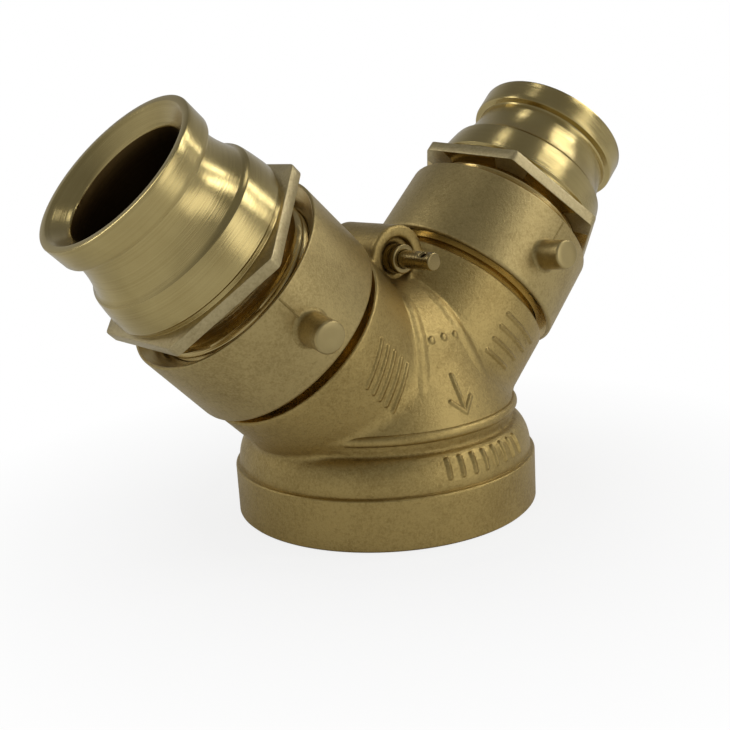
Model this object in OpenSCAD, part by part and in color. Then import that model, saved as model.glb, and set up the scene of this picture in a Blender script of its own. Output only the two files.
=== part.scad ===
// Two-way fire department connection for a building wall or a free-standing pipe.
// A cast brass body takes a pipe thread below and carries two inlets that lean out
// to the left and right. A swivel ring runs on balls round each neck, and a
// cam-and-groove adapter is screwed into each ring. One clapper hangs between the
// two necks and swings across to shut the inlet that has no hose on it.
// Lengths are in millimetres. The origin is the centre of the outlet's bottom face,
// +Z runs up the outlet's axis, and the hinge pin comes out of the body towards -Y.

/* [Outlet collar] */
// Outside diameter of the collar
collar_d = 140; // [130:1:170]
// Height of the collar's straight side
collar_h = 23; // [20:1:30]
// Bore of the collar, at the crests of its pipe thread
outlet_bore_d = 108; // [96:1:114]
// Depth of the threaded bore
outlet_thread_h = 25; // [20:1:32]
// Radius of the waist between the dome on the collar and the housing
waist_r = 60; // [56:0.5:64]
// Height of the waist above the bottom face
waist_z = 39.5; // [36:0.5:46]

/* [Inlets] */
// Angle between each inlet's axis and the vertical
inlet_angle = 45; // [40:1:50]
// Height at which the two inlet axes cross
cross_z = 37.6; // [34:0.2:48]
// Outside diameter of each cast neck
neck_d = 92.6; // [88:0.2:104]
// Distance along the inlet axis to the end face of the neck
neck_s = 71; // [66:0.5:86]
// Bore through each neck
neck_bore_d = 58; // [50:1:62]
// Diameter of the turned journal that carries the swivel ring
journal_d = 80; // [76:0.5:82]
// Length of the journal beyond the neck's end face
journal_len = 21.5; // [18:0.5:28]
// Height of the level middle part's axis above the point where the inlet axes cross
middle_rise = 24.4; // [20:0.2:30]

/* [Swivel rings] */
// Outside diameter at the back edge
swivel_back_d = 96.8; // [94:0.2:106]
// Outside diameter at the mouth
swivel_mouth_d = 95.4; // [92:0.2:104]
// Length of the ring
swivel_len = 38.3; // [36:0.1:46]
// Gap between the neck's end face and the ring
swivel_gap = 5.1; // [2:0.1:8]
// Radial gap between the ring and the journal
swivel_clearance = 0.3; // [0.2:0.05:0.4]
// Diameter of each bearing ball
ball_d = 5; // [4:0.25:6]
// Number of balls in each race
ball_count = 40; // [24:1:44]
// Diameter of each pin lug
lug_d = 13; // [10:0.5:16]
// Radius from the ring's axis to the lug's tip
lug_tip_r = 62; // [58:0.5:68]
// Distance of the lugs from the ring's back edge
lug_s = 18.5; // [14:0.5:22]
// Thickness of the rubber washer in the ring
gasket_t = 3; // [2:0.5:4]

/* [Adapters] */
// Outside diameter of the adapter's hose thread, 2 1/2 inch
adapter_thread_d = 77.9; // [74:0.1:79]
// Gap between the ring's mouth and the hexagon
hex_gap = 8.6; // [5:0.1:12]
// Thickness of the hexagon
hex_t = 5.3; // [4:0.1:10]
// Width of the hexagon across its corners
hex_corner_d = 101.8; // [98:0.2:108]
// Diameter of the shoulder where it meets the hexagon
shoulder_base_d = 86.4; // [84:0.2:90]
// Diameter of the shoulder at the cam groove
shoulder_top_d = 81.4; // [78:0.2:84]
// Distance from the hexagon's back face to the cam groove
shoulder_len = 22; // [18:0.5:28]
// Depth of the cam groove below the nose
groove_depth = 3.2; // [2:0.1:4]
// Width of the cam groove
groove_len = 19; // [16:0.5:24]
// Diameter of the nose
nose_d = 75.8; // [72:0.1:77]
// Length of the nose
nose_len = 11.1; // [8:0.1:16]
// Diameter of the waterway
waterway_d = 55.8; // [48:0.2:60]
// Width of the flat rim at the nose's end
rim_w = 3.2; // [2:0.1:5]
// Depth of the bevel inside the rim
bevel_depth = 6.4; // [3:0.1:9]

/* [Clapper and hinge] */
// Height of the hinge pin's axis
hinge_z = 113.9; // [112:0.5:122]
// Outside diameter of the boss that holds the pin
boss_d = 29.6; // [27:0.2:34]
// Distance from the middle plane to the boss's front face
boss_front = 17; // [15:0.5:22]
// Distance from the middle plane to the boss's back face
boss_back = 19; // [15:0.5:24]
// Diameter of the hinge pin
pin_d = 8; // [6:0.5:9]
// Length of pin outside the boss's front face
pin_out = 22.8; // [10:0.2:30]
// Outside diameter of the gland round the pin
gland_d = 13; // [12:0.5:15]
// Length of gland outside the boss's front face
gland_out = 3.8; // [2:0.2:6]
// Diameter of the counterbore round the gland
counterbore_d = 19; // [16:0.5:22]
// Diameter of the clapper's plate
plate_d = 68; // [62:0.5:70]
// Thickness of the clapper's plate
plate_t = 5; // [4:0.5:6]
// Thickness of each rubber facing
facing_t = 3; // [2:0.5:4]
// Outside diameter of the clapper's knuckle
knuckle_d = 16; // [14:0.5:18]
// Width of the clapper's knuckle
knuckle_w = 13; // [10:0.5:15]

/* [Hidden] */
$fn = 96;

// Which way each inlet leans, and how its ring and adapter came to rest when tightened
left = -1;
right = 1;
lug_turn_left = -9.7;
lug_turn_right = -7.9;
hex_turn_left = 0;
hex_turn_right = 8.5;

// Running fits, gaps, overlaps and eased edges
fit = 0.05;
slip = 0.1;
joint_gap = 0.4;
cut = 1;
fine_edge = 0.6;
edge = 1;
broad_edge = 1.6;

// Along each inlet's axis, measured from where the two axes cross
washer_t = 1.6;
hinge_rise = hinge_z - cross_z;
seat_s = hinge_rise * cos(inlet_angle);
swing_r = hinge_rise * sin(inlet_angle);
clapper_half = plate_t / 2 + facing_t;
seat_face_s = seat_s + clapper_half + joint_gap;
swivel_s = neck_s + swivel_gap;
mouth_s = swivel_s + swivel_len;
journal_s = neck_s + journal_len;
race_s = (swivel_s + journal_s) / 2;
back_s = journal_s + joint_gap + gasket_t;
hex_s = mouth_s + hex_gap;
groove_s = hex_s + shoulder_len;
nose_s = groove_s + groove_len;
rim_s = nose_s + nose_len;

// Dome, lip and skirt of the body
dome_foot_r = collar_d / 2 - 1.9;
dome_gap = 0.5;
lip_z = waist_z + 5.5;
lip_round = 1.8;
skirt_h = 38;
skirt_flare = waist_r - neck_d / 2 + 5;

// Chamber, outlet and seats
chamber_r = plate_d / 2 + 3;
chamber_lap = 14;
chamber_step = 0.8;
seat_ring_d = neck_bore_d + 13;
seat_ring_t = 6;
neck_relief = 2;
journal_wall = 2.5;
outlet_r = outlet_bore_d / 2 - 3;
thread_lead = 3;
passage_top = waist_z + 16;

// Ball race and the screw that closes its filling hole
race_r = ball_d / 2 + 0.15;
plug_turn = 150;
plug_d = 6;
plug_sunk = 0.4;
driver_slot = 1;

// Hinge
pocket_w = knuckle_w + 2 * joint_gap;
pocket_r = knuckle_d / 2 + 1.2;
arm_t = plate_t + 2;
arm_lap = 4;
arm_reach = swing_r - chamber_r + 12;
web_inset = 2;
counterbore_depth = 3.5;
packing_t = 2.2;
gland_in = 6;
pin_end = boss_back - 4.5;
cross_hole_r = 1.3;
cross_hole_in = 5;

// Clapper's bolt, with a hexagonal head and nut
plate_z = hinge_z - swing_r;
bolt_d = 8;
bolt_head_t = 5;
bolt_across = 15;
bolt_past_nut = 2;
facing_r = plate_d / 2 - 0.5;
facing_washer_r = neck_bore_d / 2 - 4;

// Swivel ring and adapter
thread_chamfer = 1.2;
lug_round = 1.6;
lug_sunk = 3;
thread_end = 3;
thread_depth = 1.4;
neck_hollow = 4;
shoulder_round = 1.5;
shoulder_lip = 2.2;
nose_corner = 1.5;

// Middle part of the housing: the level cylinder that joins the two necks
middle_z = cross_z + middle_rise;
middle_half = middle_rise * tan(inlet_angle);

brass_cast = [0.66, 0.56, 0.33];
brass_turned = [0.82, 0.76, 0.52];
bronze = [0.62, 0.42, 0.22];
rubber = [0.08, 0.08, 0.08];
steel = [0.7, 0.7, 0.7];

// Points of an arc about [x, y], from angle a to angle b
function arc(x, y, r, a, b, steps = 6) =
    [for (i = [0 : steps]) let (t = a + (b - a) * i / steps) [x + r * cos(t), y + r * sin(t)]];

// Points of a quarter ellipse that bulges outwards from [r, z] in to the radius r - w
function dome(r, z, w, h, steps = 8) =
    [for (i = [0 : steps]) let (t = 90 * i / steps) [r - w + w * cos(t), z + h * sin(t)]];

// Half the depth of the housing's level middle part at height z
function middle_r(z) = sqrt(pow(neck_d / 2, 2) - pow(z - middle_z, 2));

// Stands its children on one inlet's axis, with +Z out of the inlet
module on_inlet(side) {
    translate([0, 0, cross_z]) rotate([0, side * inlet_angle, 0]) children();
}

// A plain ring or tube from s0 to s1 along Z
module ring(r_out, r_in, s0, s1) {
    translate([0, 0, s0]) difference() {
        cylinder(h = s1 - s0, r = r_out);
        translate([0, 0, -cut]) cylinder(h = s1 - s0 + 2 * cut, r = r_in);
    }
}

// A cylinder along Y, from y0 to y1, on the hinge axis
module along_hinge(r, y0, y1) {
    translate([0, y1, hinge_z]) rotate([90, 0, 0]) cylinder(h = y1 - y0, r = r);
}

// ---- Body casting ----

// Collar, dome, waist and the skirt that flares down from the necks
module body_skirt() {
    r = collar_d / 2;
    rotate_extrude() polygon(concat(
        [[0, 0], [r - edge, 0], [r, edge]],
        arc(r - broad_edge, collar_h - broad_edge, broad_edge, 0, 80),
        dome(dome_foot_r, collar_h + dome_gap, dome_foot_r - waist_r, waist_z - collar_h - 4 * dome_gap),
        [[waist_r, waist_z]],
        arc(waist_r, lip_z, lip_round, -50, 60),
        [for (i = [1 : 5]) let (t = i / 5, z = lip_z + skirt_h * t) [
            middle_r(z) + skirt_flare * pow(1 - t, 1.8), z]],
        [[0, lip_z + skirt_h]]));
}

// One cast neck, with the turned journal and its half of the ball race
module neck() {
    journal_r = journal_d / 2;
    rotate_extrude() difference() {
        polygon(concat(
            [[0, 0], [neck_d / 2, 0]],
            arc(neck_d / 2 - broad_edge, neck_s - broad_edge, broad_edge, 0, 90, 4),
            [[journal_r, neck_s], [journal_r, journal_s - edge], [journal_r - edge, journal_s],
             [0, journal_s]]));
        translate([journal_r, race_s]) circle(r = race_r, $fn = 32);
    }
}

// The boss on top of the crotch that holds the hinge pin, and the web that stands it on the housing
module hinge_boss() {
    along_hinge(boss_d / 2, -boss_front, boss_back);
    translate([web_inset - boss_d / 2, web_inset - boss_front, middle_z])
        cube([boss_d - 2 * web_inset, boss_front + boss_back - 2 * web_inset, hinge_z - middle_z]);
}

// Space swept by the clapper as it swings from one seat to the other
module clapper_space() {
    translate([0, 0, hinge_z]) rotate([90, 0, 0])
        rotate([0, 0, inlet_angle + 180]) rotate_extrude(angle = 2 * (90 - inlet_angle))
            translate([swing_r, 0]) circle(r = chamber_r);
    for (side = [left, right]) on_inlet(side) translate([0, 0, seat_s - chamber_lap])
        cylinder(h = seat_face_s - seat_s + chamber_lap, r = chamber_r + chamber_step);
}

// Slot and pocket for the clapper's arm and knuckle
module arm_space() {
    swing = 90 - inlet_angle;
    half_t = clapper_half + joint_gap;
    side_x = arm_reach * sin(swing);
    side_y = -arm_reach * cos(swing);
    translate([0, pocket_w / 2, hinge_z]) rotate([90, 0, 0]) linear_extrude(height = pocket_w) {
        circle(r = pocket_r);
        polygon([[0, 0], [-side_x, side_y], [0, -1.2 * arm_reach], [side_x, side_y]]);
        for (side = [left, right]) rotate(side * swing)
            translate([-half_t, -arm_reach]) square([2 * half_t, arm_reach]);
    }
}

// Threaded outlet bore and the passage up to the clapper's space
module outlet_space() {
    bore_r = outlet_bore_d / 2;
    rotate_extrude() polygon([
        [0, -cut], [bore_r + thread_lead + cut, -cut], [bore_r, thread_lead], [bore_r, outlet_thread_h],
        [outlet_r, outlet_thread_h + broad_edge], [outlet_r, waist_z], [chamber_r, passage_top],
        [0, passage_top]]);
}

// Bore of one neck, with the recess for its seat ring
module neck_space() {
    bore_r = min(neck_bore_d / 2 + neck_relief, journal_d / 2 - race_r - journal_wall);
    translate([0, 0, seat_face_s - cut]) cylinder(h = journal_s - seat_face_s + 2 * cut, r = bore_r);
    translate([0, 0, seat_face_s - cut]) cylinder(h = seat_ring_t + cut, r = seat_ring_d / 2);
}

// Counterbore, gland hole, packing recess and pin hole along the hinge axis
module hinge_holes() {
    along_hinge(counterbore_d / 2, -boss_front - cut, counterbore_depth - boss_front);
    along_hinge(gland_d / 2 + fit, -boss_front - cut, gland_in + packing_t - boss_front);
    along_hinge(pin_d / 2 + fit, -boss_front - cut, pin_end + joint_gap);
}

module body_casting() {
    color(brass_cast) difference() {
        union() {
            body_skirt();
            translate([-middle_half, 0, middle_z]) rotate([0, 90, 0])
                cylinder(h = 2 * middle_half, r = neck_d / 2);
            for (side = [left, right]) on_inlet(side) neck();
            hinge_boss();
        }
        outlet_space();
        clapper_space();
        arm_space();
        hinge_holes();
        for (side = [left, right]) on_inlet(side) neck_space();
    }
}

// ---- Pieces fixed in the body ----

// Bronze ring pressed into the end of the chamber, which the clapper's facing meets
module seat_ring(side) {
    color(bronze) on_inlet(side) rotate_extrude() polygon([
        [neck_bore_d / 2, seat_face_s + edge], [neck_bore_d / 2 + edge, seat_face_s],
        [seat_ring_d / 2 - fit, seat_face_s], [seat_ring_d / 2 - fit, seat_face_s + seat_ring_t],
        [neck_bore_d / 2, seat_face_s + seat_ring_t]]);
}

// Pin that the clapper hangs on, cross-drilled near its outer end
module hinge_pin() {
    r = pin_d / 2;
    length = boss_front + pin_out + pin_end;
    color(brass_turned) difference() {
        translate([0, pin_end, hinge_z]) rotate([90, 0, 0]) rotate_extrude() polygon([
            [0, 0], [r - edge, 0], [r, edge], [r, length - fine_edge], [r - fine_edge, length], [0, length]]);
        translate([0, cross_hole_in - boss_front - pin_out, hinge_z - pin_d])
            cylinder(h = 2 * pin_d, r = cross_hole_r, $fn = 24);
    }
}

// Screwed gland that holds the packing round the pin
module pin_gland() {
    r_out = gland_d / 2;
    r_in = pin_d / 2 + slip;
    length = gland_out + gland_in;
    color(brass_turned) translate([0, gland_in - boss_front, hinge_z]) rotate([90, 0, 0])
        rotate_extrude() polygon([
            [r_in, 0], [r_out, 0], [r_out, length - fine_edge], [r_out - fine_edge, length],
            [r_in + fine_edge, length], [r_in, length - fine_edge]]);
}

// Rubber packing squeezed between the gland and the body
module pin_packing() {
    color(rubber) translate([0, gland_in + packing_t - slip - boss_front, hinge_z]) rotate([90, 0, 0])
        ring(gland_d / 2, pin_d / 2 + slip, 0, packing_t - 2 * slip);
}

// Balls that carry the swivel ring on its journal
module bearing_balls(side) {
    color(steel) on_inlet(side) for (i = [0 : ball_count - 1])
        rotate([0, 0, 360 * (i + 0.5) / ball_count]) translate([journal_d / 2 + swivel_clearance / 2, 0, race_s])
            sphere(r = ball_d / 2, $fn = 24);
}

// ---- Clapper, hanging straight down between the two seats ----

// A disc or ring square to X, from x0 to x1, at the plate's centre
module on_plate(r_out, r_in, x0, x1) {
    translate([0, 0, plate_z]) rotate([0, 90, 0]) ring(r_out, r_in, x0, x1);
}

// Mirrors its children for the left side
module to_side(side) {
    mirror([side < 0 ? 1 : 0, 0, 0]) children();
}

// Round plate, arm and knuckle in one casting
module clapper_plate() {
    arm_foot = plate_d / 2 - arm_lap;
    color(bronze) difference() {
        union() {
            on_plate(plate_d / 2, bolt_d / 2 + fit, -plate_t / 2, plate_t / 2);
            along_hinge(knuckle_d / 2, -knuckle_w / 2, knuckle_w / 2);
            translate([-arm_t / 2, -knuckle_w / 2, plate_z + arm_foot])
                cube([arm_t, knuckle_w, swing_r - arm_foot]);
        }
        along_hinge(pin_d / 2 + fit, -knuckle_w, knuckle_w);
        for (side = [left, right]) to_side(side) translate([plate_t / 2, 0, plate_z]) rotate([0, 90, 0])
            cylinder(h = plate_t, r = plate_d / 2 + slip);
    }
}

// Rubber disc that seals on the seat ring
module facing(side) {
    color(rubber) to_side(side) on_plate(facing_r, bolt_d / 2 + slip, plate_t / 2, clapper_half);
}

// Washer that holds the rubber facing flat
module facing_washer(side) {
    color(bronze) to_side(side)
        on_plate(facing_washer_r, bolt_d / 2 + slip, clapper_half, clapper_half + washer_t);
}

// Bolt through the plate, the facings and the washers
module clapper_bolt() {
    head_x = clapper_half + washer_t;
    color(bronze) translate([-head_x, 0, plate_z]) rotate([0, 90, 0]) {
        translate([0, 0, -bolt_head_t]) cylinder(h = bolt_head_t, r = bolt_across / 2, $fn = 6);
        translate([0, 0, -cut]) cylinder(h = 2 * head_x + bolt_head_t + bolt_past_nut + cut, r = bolt_d / 2);
    }
}

// Nut on the bolt's right-hand end
module clapper_nut() {
    color(bronze) translate([clapper_half + washer_t, 0, plate_z]) rotate([0, 90, 0]) difference() {
        cylinder(h = bolt_head_t, r = bolt_across / 2, $fn = 6);
        translate([0, 0, -cut]) cylinder(h = bolt_head_t + 2 * cut, r = bolt_d / 2 + fit);
    }
}

// ---- Pieces that turn with each inlet ----

// Cast ring, turned inside, with two pin lugs for a spanner
module swivel_ring(side) {
    back_r = swivel_back_d / 2;
    mouth_r = swivel_mouth_d / 2;
    run_r = journal_d / 2 + swivel_clearance;
    thread_r = adapter_thread_d / 2 + slip;
    step_s = journal_s + joint_gap;
    cone_r = mouth_r - thread_chamfer;
    lug_turn = side < 0 ? lug_turn_left : lug_turn_right;
    color(brass_cast) on_inlet(side) difference() {
        union() {
            rotate_extrude() difference() {
                polygon(concat(
                    [[run_r, swivel_s + edge], [run_r + edge, swivel_s]],
                    arc(back_r - broad_edge, swivel_s + broad_edge, broad_edge, -90, 0, 5),
                    arc(mouth_r - fine_edge, mouth_s - fine_edge, fine_edge, 0, 90, 3),
                    [[cone_r, mouth_s], [thread_r, mouth_s - cone_r + thread_r],
                     [thread_r, step_s], [run_r, step_s]]));
                translate([run_r, race_s]) circle(r = race_r, $fn = 32);
            }
            for (turn = [lug_turn, lug_turn + 180]) rotate([0, 0, turn]) translate([0, 0, swivel_s + lug_s])
                rotate([90, 0, 0]) pin_lug();
        }
        rotate([0, 0, plug_turn]) translate([0, 0, race_s]) rotate([90, 0, 0])
            cylinder(h = back_r + cut, r = plug_d / 2 + fit);
    }
}

// Round lug with a filleted root and an eased tip
module pin_lug() {
    root_r = swivel_mouth_d / 2 - lug_sunk;
    face_h = swivel_back_d / 2 - fine_edge - root_r;
    tip_h = lug_tip_r - root_r;
    r = lug_d / 2;
    translate([0, 0, root_r]) rotate_extrude() polygon(concat(
        [[0, 0], [r + lug_round, 0], [r + lug_round, face_h]],
        arc(r + lug_round, face_h + lug_round, lug_round, 255, 180, 4),
        arc(r - edge, tip_h - edge, edge, 0, 90, 3),
        [[0, tip_h]]));
}

// Screw that closes the hole through which the balls are put in
module ball_plug(side) {
    inner_r = journal_d / 2 + swivel_clearance / 2 + race_r;
    outer_r = swivel_mouth_d / 2 - plug_sunk;
    color(brass_turned) on_inlet(side) rotate([0, 0, plug_turn]) translate([0, 0, race_s]) rotate([90, 0, 0])
        difference() {
            translate([0, 0, inner_r]) cylinder(h = outer_r - inner_r, r = plug_d / 2);
            translate([-plug_d, -driver_slot / 2, outer_r - driver_slot])
                cube([2 * plug_d, driver_slot, driver_slot + cut]);
        }
}

// Rubber washer between the end of the neck and the end of the adapter
module swivel_gasket(side) {
    color(rubber) on_inlet(side)
        ring(adapter_thread_d / 2 - slip, neck_bore_d / 2 + neck_relief, back_s - gasket_t, back_s);
}

// Hexagon for a spanner, with its front corners turned off
module adapter_hexagon() {
    corner_r = hex_corner_d / 2;
    intersection() {
        cylinder(h = hex_t, r = corner_r, $fn = 6);
        cylinder(h = hex_t, r1 = corner_r - fine_edge + hex_t, r2 = corner_r - fine_edge);
    }
}

// Adapter turned from a cast blank: thread, hexagon, shoulder, cam groove and nose
module adapter(side) {
    thread_r = adapter_thread_d / 2;
    base_r = shoulder_base_d / 2;
    top_r = shoulder_top_d / 2;
    nose_r = nose_d / 2;
    water_r = waterway_d / 2;
    root_r = nose_r - groove_depth;
    lip_r = top_r - shoulder_lip;
    groove_front = nose_s - nose_corner;
    color(brass_turned) on_inlet(side) difference() {
        union() {
            translate([0, 0, hex_s]) rotate([0, 0, (side < 0 ? hex_turn_left : hex_turn_right) - 90])
                adapter_hexagon();
            rotate_extrude() polygon(concat(
                [[0, back_s], [thread_r - edge, back_s], [thread_r, back_s + edge], [thread_r, hex_s - thread_end],
                 [thread_r - thread_depth, hex_s - thread_end + fine_edge], [thread_r - thread_depth, hex_s],
                 [base_r - edge, hex_s + edge], [base_r - edge, hex_s + hex_t + thread_end - edge],
                 [base_r, hex_s + hex_t + thread_end]],
                arc(top_r - shoulder_round, groove_s - shoulder_round, shoulder_round, 15, 60, 3),
                [for (i = [1 : 8]) let (t = i / 8) [
                    root_r + (lip_r - root_r) * pow(1 - t, 2), groove_s + (groove_front - groove_s) * t]],
                [[root_r, groove_front + fine_edge], [nose_r - fine_edge, nose_s], [nose_r, nose_s + fine_edge]],
                arc(nose_r - fine_edge, rim_s - fine_edge, fine_edge, 0, 90, 2),
                [[0, rim_s]]));
        }
        rotate_extrude() polygon([
            [0, back_s - cut], [water_r + neck_hollow + cut, back_s - cut], [water_r, back_s + neck_hollow],
            [water_r, rim_s - bevel_depth], [nose_r - rim_w, rim_s], [nose_r - rim_w, rim_s + cut],
            [0, rim_s + cut]]);
    }
}

body_casting();
seat_ring(left);  // seat_ring_left
seat_ring(right);  // seat_ring_right
hinge_pin();
pin_gland();
pin_packing();
clapper_plate();
facing(left);  // facing_left
facing(right);  // facing_right
facing_washer(left);  // facing_washer_left
facing_washer(right);  // facing_washer_right
clapper_bolt();
clapper_nut();
bearing_balls(left);  // bearing_balls_left
bearing_balls(right);  // bearing_balls_right
swivel_ring(left);  // swivel_ring_left
swivel_ring(right);  // swivel_ring_right
ball_plug(left);  // ball_plug_left
ball_plug(right);  // ball_plug_right
swivel_gasket(left);  // swivel_gasket_left
swivel_gasket(right);  // swivel_gasket_right
adapter(left);  // adapter_left
adapter(right);  // adapter_right
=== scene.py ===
"""A two-way fire department connection in brass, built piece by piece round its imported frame."""

import bmesh
import bpy
import numpy as np
from mathutils import Matrix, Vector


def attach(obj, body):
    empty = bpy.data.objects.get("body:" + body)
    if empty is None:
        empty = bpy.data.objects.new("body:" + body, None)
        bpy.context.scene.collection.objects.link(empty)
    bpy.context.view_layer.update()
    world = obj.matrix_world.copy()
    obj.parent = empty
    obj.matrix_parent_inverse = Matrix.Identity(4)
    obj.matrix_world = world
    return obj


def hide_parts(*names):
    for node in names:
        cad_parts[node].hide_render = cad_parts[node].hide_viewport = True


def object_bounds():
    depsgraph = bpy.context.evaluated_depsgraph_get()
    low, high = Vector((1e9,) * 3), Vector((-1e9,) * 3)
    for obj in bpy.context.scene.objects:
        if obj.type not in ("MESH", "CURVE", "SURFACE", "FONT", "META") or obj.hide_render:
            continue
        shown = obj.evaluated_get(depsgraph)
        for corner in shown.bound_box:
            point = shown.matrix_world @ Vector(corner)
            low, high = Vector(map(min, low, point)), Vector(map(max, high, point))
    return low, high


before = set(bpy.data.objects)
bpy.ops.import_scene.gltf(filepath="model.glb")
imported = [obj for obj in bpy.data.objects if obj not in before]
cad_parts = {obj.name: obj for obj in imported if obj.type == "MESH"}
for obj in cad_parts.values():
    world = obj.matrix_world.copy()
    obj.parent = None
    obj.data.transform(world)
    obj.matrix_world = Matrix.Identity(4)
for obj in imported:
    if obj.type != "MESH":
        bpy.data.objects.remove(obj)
cad_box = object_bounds()
mm = 0.001


# ---- Camera, floor and light ----
# A plain studio: a pale floor that runs to white, in a dim white room. Soft lamps stand in front,
# high on the right (two), high behind on the left, and overhead. The camera stands to the left of
# the front, a little above the inlets.

view_azimuth = np.radians(-39.26)
view_elevation = np.radians(13.46)
view_roll = np.radians(-3.51)
view_distance = 483.5 * mm
aim_right = -6.93 * mm
aim_height = 63.55 * mm
focal_in_frames = 1042.6 / 730
sensor = 36.0


def stand(thing, right, up, back, place):
    """Stands a camera or a lamp at place, with its back turned this way, and links it."""
    thing.matrix_world = Matrix(np.vstack([np.stack([right, up, back, place], 1), [0, 0, 0, 1]]))
    bpy.context.scene.collection.objects.link(thing)


back = np.array([
    np.sin(view_azimuth) * np.cos(view_elevation),
    -np.cos(view_azimuth) * np.cos(view_elevation),
    np.sin(view_elevation),
])
level_right = np.cross(-back, [0, 0, 1])
level_right /= np.linalg.norm(level_right)
level_up = np.cross(level_right, -back)
camera_right = level_right * np.cos(view_roll) + level_up * np.sin(view_roll)
camera_up = np.cross(back, camera_right)
camera_place = level_right * aim_right + np.array([0, 0, aim_height]) + back * view_distance

camera = bpy.data.objects.new("camera", bpy.data.cameras.new("camera"))
camera.data.sensor_width = sensor
camera.data.lens = focal_in_frames * sensor
camera.data.clip_start = 0.02
camera.data.clip_end = 20
stand(camera, camera_right, camera_up, back, camera_place)
bpy.context.scene.camera = camera
bpy.context.scene.view_settings.view_transform = "Standard"


class Socket:
    """A node's output in an expression: + - * / each add one Math node."""

    def __init__(self, tree, output):
        self.tree = tree
        self.output = output

    def maths(self, operation, *others, swap=False):
        node = self.tree.nodes.new("ShaderNodeMath")
        node.operation = operation
        values = [self, *others]
        if swap:
            values.reverse()
        for place, value in zip(node.inputs, values):
            plug(self.tree, value, place)
        return Socket(self.tree, node.outputs[0])

    def __add__(self, other):
        return self.maths("ADD", other)

    def __sub__(self, other):
        return self.maths("SUBTRACT", other)

    def __rsub__(self, other):
        return self.maths("SUBTRACT", other, swap=True)

    def __mul__(self, other):
        return self.maths("MULTIPLY", other)

    def __truediv__(self, other):
        return self.maths("DIVIDE", other)

    def clamp(self, low, high):
        return self.maths("MAXIMUM", low).maths("MINIMUM", high)

    def smooth(self, low, high):
        """0 below low and 1 above high, with an even slope between them."""
        return ((self - low) / (high - low)).clamp(0, 1)

    __radd__ = __add__


def plug(tree, value, place):
    """Links a Socket to an input, or writes a plain value on it."""
    if isinstance(value, Socket):
        tree.links.new(value.output, place)
    else:
        place.default_value = value


class Finish:
    """One node material: a Principled shader, with the object's own coordinates in millimetres."""

    def __init__(self, name, **values):
        self.material = bpy.data.materials.new(name)
        self.material.use_nodes = True
        self.tree = self.material.node_tree
        self.shader = self.tree.nodes["Principled BSDF"]
        self.set(**values)
        place = self.node("ShaderNodeTexCoord", {}, "Object")
        self.place = self.node("ShaderNodeVectorMath", {0: place, "Scale": 1 / mm}, operation="SCALE")

    def node(self, kind, inputs, output=0, **settings):
        """Adds a node of this type, makes its settings, fills its sockets and gives this output of it."""
        made = self.tree.nodes.new(kind)
        for key, value in settings.items():
            setattr(made, key, value)
        for key, value in inputs.items():
            plug(self.tree, value, made.inputs[key])
        return Socket(self.tree, made.outputs[output])

    def noise(self, scale, detail=2.0, roughness=0.5, at=None):
        """Fractal noise with about this many lumps to a millimetre."""
        return self.node("ShaderNodeTexNoise", {
            "Vector": at or self.place, "Scale": scale, "Detail": detail, "Roughness": roughness})

    def mix(self, factor, first, second):
        """The first colour where factor is 0, and the second where it is 1."""
        return self.node("ShaderNodeMix", {0: factor, 6: (*first, 1), 7: (*second, 1)}, 2, data_type="RGBA")

    def along(self, axis, start):
        """How far each point lies past start along an axis, in millimetres."""
        moved = self.node("ShaderNodeVectorMath", {0: self.place, 1: start}, operation="SUBTRACT")
        return self.node("ShaderNodeVectorMath", {0: moved, 1: axis}, 1, operation="DOT_PRODUCT")

    def attribute(self, name):
        """A number stored on the mesh's points."""
        return self.node("ShaderNodeAttribute", {}, 2, attribute_name=name)

    def set(self, **values):
        """Links or writes each of the shader's inputs that is named."""
        for key, value in values.items():
            plug(self.tree, value, self.shader.inputs[key.replace("_", " ")])

    def bump(self, height, depth, strength=1.0):
        """Raises the surface by height times depth, in millimetres."""
        self.set(Normal=self.node("ShaderNodeBump", {
            "Height": height, "Distance": depth * mm, "Strength": strength}))


floor_half, plain_from, plain_to, least_plain = 3.0, 90.0, 240.0, 0.82
floor_mesh = bpy.data.meshes.new("floor")
floor_corners = [(x * floor_half, y * floor_half, 0) for x, y in ((-1, -1), (1, -1), (1, 1), (-1, 1))]
floor_mesh.from_pydata(floor_corners, [], [(0, 1, 2, 3)])
floor = bpy.data.objects.new("floor", floor_mesh)
floor.location.z = cad_box[0].z - 0.0002
bpy.context.scene.collection.objects.link(floor)
floor_finish = Finish("pale_floor", Roughness=0.9, Base_Color=(0.82, 0.82, 0.81, 1.0))
floor_mesh.materials.append(floor_finish.material)
floor_rays = floor_finish.node("ShaderNodeLightPath", {}, "Is Camera Ray")
spread = floor_finish.node("ShaderNodeVectorMath", {0: floor_finish.place}, 1, operation="LENGTH")
paper = floor_finish.node("ShaderNodeEmission", {"Strength": 1.0})
lit = Socket(floor_finish.tree, floor_finish.shader.outputs[0])
shown = floor_finish.node("ShaderNodeMixShader", {
    0: floor_rays * (least_plain + spread.smooth(plain_from, plain_to) * (1 - least_plain)), 1: lit, 2: paper})
plug(floor_finish.tree, shown, floor_finish.tree.nodes["Material Output"].inputs["Surface"])

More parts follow.
